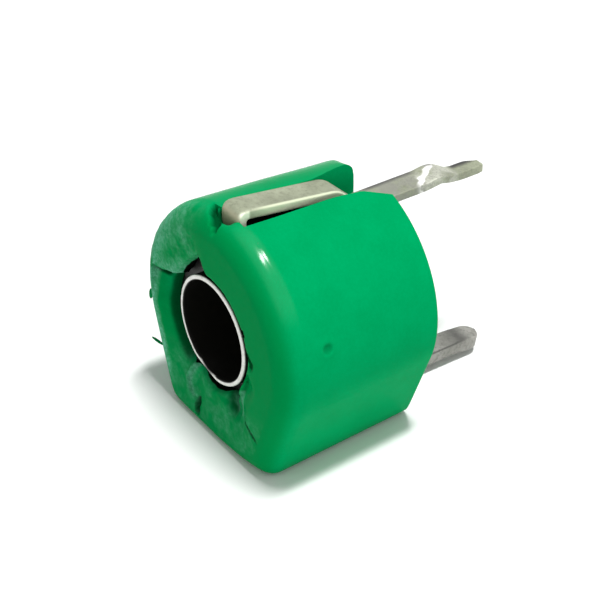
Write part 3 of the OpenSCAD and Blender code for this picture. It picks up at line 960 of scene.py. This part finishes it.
def make_floor():
    """Pale floor that keeps the shadow, and is plain white to the eye far from the object."""
    bm = bmesh.new()
    bmesh.ops.create_grid(bm, x_segments=1, y_segments=1, size=FLOOR_HALF)
    bmesh.ops.translate(bm, vec=(0, 0, -FOOT_DROP * MM), verts=bm.verts[:])
    mesh = bpy.data.meshes.new("floor")
    bm.to_mesh(mesh)
    bm.free()
    floor = bpy.data.objects.new("floor", mesh)
    bpy.context.scene.collection.objects.link(floor)
    f = Finish("pale_floor", roughness=0.9, base_color=(0.96, 0.97, 0.96), specular_ior_level=0.2)
    f.onto(floor)
    away = (f.x * f.x + f.y * f.y).step(WHITE_FROM ** 2, WHITE_TO ** 2)
    glow = f.maths.node("ShaderNodeEmission", {}, {"Color": (1, 1, 1), "Strength": 1.0})
    both = f.maths.node("ShaderNodeMixShader", {}, {0: away * seen_directly(f.maths), 2: glow})
    f.tree.links.new(f.shader.outputs[0], both.out.node.inputs[1])
    f.tree.links.new(both.out, f.tree.nodes["Material Output"].inputs[0])


def make_room():
    """White to the eye; as a light, plain and soft, and brighter from the right."""
    world = bpy.data.worlds.new("studio")
    bpy.context.scene.world = world
    world.use_nodes = True
    tree = world.node_tree
    maths = Sock(tree)
    # in a world this is the direction that a ray takes
    x, y, z = maths.node("ShaderNodeTexCoord", output="Generated").parts()
    brighter_side = (x * 0.8 - y * 0.25 + z * 0.5).step(-0.8, 0.9)
    level = ROOM_LIGHT * (0.22 + 1.15 * brighter_side)
    level = level + seen_directly(maths) * (1 - level)
    background = tree.nodes["Background"]
    background.inputs["Color"].default_value = (1, 1, 1, 1)
    tree.links.new(level.out, background.inputs["Strength"])


def make_lamp():
    """Long soft lamp above the object, turned to it."""
    data = bpy.data.lights.new("long_overhead_lamp", "AREA")
    data.shape = "RECTANGLE"
    data.size, data.size_y = LAMP_SIZE
    data.energy = LAMP_WATTS
    lamp = bpy.data.objects.new("long_overhead_lamp", data)
    lamp.location = LAMP_PLACE
    lamp.rotation_euler = (-Vector(LAMP_PLACE)).to_track_quat("-Z", "Y").to_euler()
    bpy.context.scene.collection.objects.link(lamp)


def make_camera():
    """Camera above the front right, looking at the middle of the case."""
    away = Vector((math.cos(CAMERA_RISE) * math.sin(CAMERA_TURN),
                   -math.cos(CAMERA_RISE) * math.cos(CAMERA_TURN), math.sin(CAMERA_RISE)))
    data = bpy.data.cameras.new("camera")
    data.sensor_width = 36
    data.lens = 105.46
    data.clip_start = 0.001
    camera = bpy.data.objects.new("camera", data)
    camera.location = (CAMERA_AIM + away * CAMERA_AWAY) * MM
    camera.rotation_euler = (-away).to_track_quat("-Z", "Y").to_euler()
    bpy.context.scene.collection.objects.link(camera)
    bpy.context.scene.camera = camera


# ---------------------------------------------------------------- making
NEAR_SIDE = STRAP_X + STRAP_W / 2
STRAP_FACETS = [
    # painted highlight along the near side, painted shade on the front of the bend, and a painted
    # highlight on its corner
    (-1.9, 2.4, lambda f: f.x.step(NEAR_SIDE - 0.1, NEAR_SIDE - 0.04) * f.z.step(2.3, 2.4),
     (0.68, 0.74, 0.53)),
    (-3.9, 0.25, lambda f: 1 - f.z.step(3.0, 3.12), (0.4, 0.38, 0.26)),
    (-3.68, 0.21, lambda f: f.x.step(0.28, 0.39) * (1 - f.z.step(3.1, 3.16)), (0.95, 1.0, 0.8)),
    # darker tin where the pin leaves the case, and painted shade along its far edge
    (0.5, 1.6, lambda f: 0.75 * f.noise(2.5, 4).step(0.3, 0.55), (0.27, 0.27, 0.24)),
    (0.75, 1.2, lambda f: 1 - f.x.step(-0.25, -0.12), (0.1, 0.1, 0.09)),
    # pale, grained tin on the kink, with a painted highlight on a slanting facet
    (1.9, 0.9, lambda f: f.noise(2, 3).step(0.35, 0.6) * 0.4, (0.85, 0.85, 0.78)),
    (1.9, 2.0, lambda f: f.noise(16, 3).step(0.45, 0.65) * 0.5, (0.22, 0.22, 0.19)),
    (1.69, 0.7, lambda f: (f.y + 1.3 * f.x + f.noise(4, 2) * 0.3).near(1.84, 0.2).step(0.0, 0.6),
     (1.0, 1.0, 0.97)),
    # painted shade on the far edge of the kink and of the pin's end
    (1.95, 0.2, lambda f: 1 - f.x.step(-0.25, -0.15), (0.3, 0.3, 0.27)),
    (2.85, 0.6, lambda f: 1 - f.x.step(-0.06, 0.1), (0.05, 0.05, 0.045)),
]
PIN_TOP = STATOR_Z + STATOR_T / 2
# painted shade: a dark line along the lower pin's near top edge
PIN_FACETS = [(1.7, 3.0, lambda f: f.z.near(PIN_TOP - 0.03, 0.05) * 0.8, (0.05, 0.05, 0.045))]

plastic().onto(make_case())
tin("tinned_strap_sheet", (0.28, 0.305, 0.21), (0.38, 0.41, 0.29), (0.18, 0.19, 0.13), 0.6,
    STRAP_FACETS).onto(make_rotor_terminal())
tin("grey_tinned_pin", (0.25, 0.245, 0.22), (0.38, 0.37, 0.34), (0.1, 0.1, 0.09), 0.65,
    PIN_FACETS).onto(make_stator_terminal())
sleeve_metal().onto(make_sleeve())

INNER_PIECES = [
    ("thrust_washer", "washer_brass", (0.42, 0.36, 0.2), (0.3, 0.26, 0.15), 0.9, 0.35, 3),
    ("spring_washer", "spring_bronze", (0.44, 0.3, 0.18), (0.3, 0.2, 0.12), 0.9, 0.3, 3),
    ("rotor_plate", "plate_brass", (0.3, 0.26, 0.16), (0.18, 0.16, 0.1), 0.8, 0.4, 3),
    ("ceramic_disc", "lapped_ceramic", (0.66, 0.62, 0.52), (0.58, 0.54, 0.45), 0.0, 0.4, 4),
]
for node, *look in INNER_PIECES:
    plain(*look).onto(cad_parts[node])

make_floor()
make_room()
make_lamp()
make_camera()
bpy.context.scene.view_settings.view_transform = "Standard"
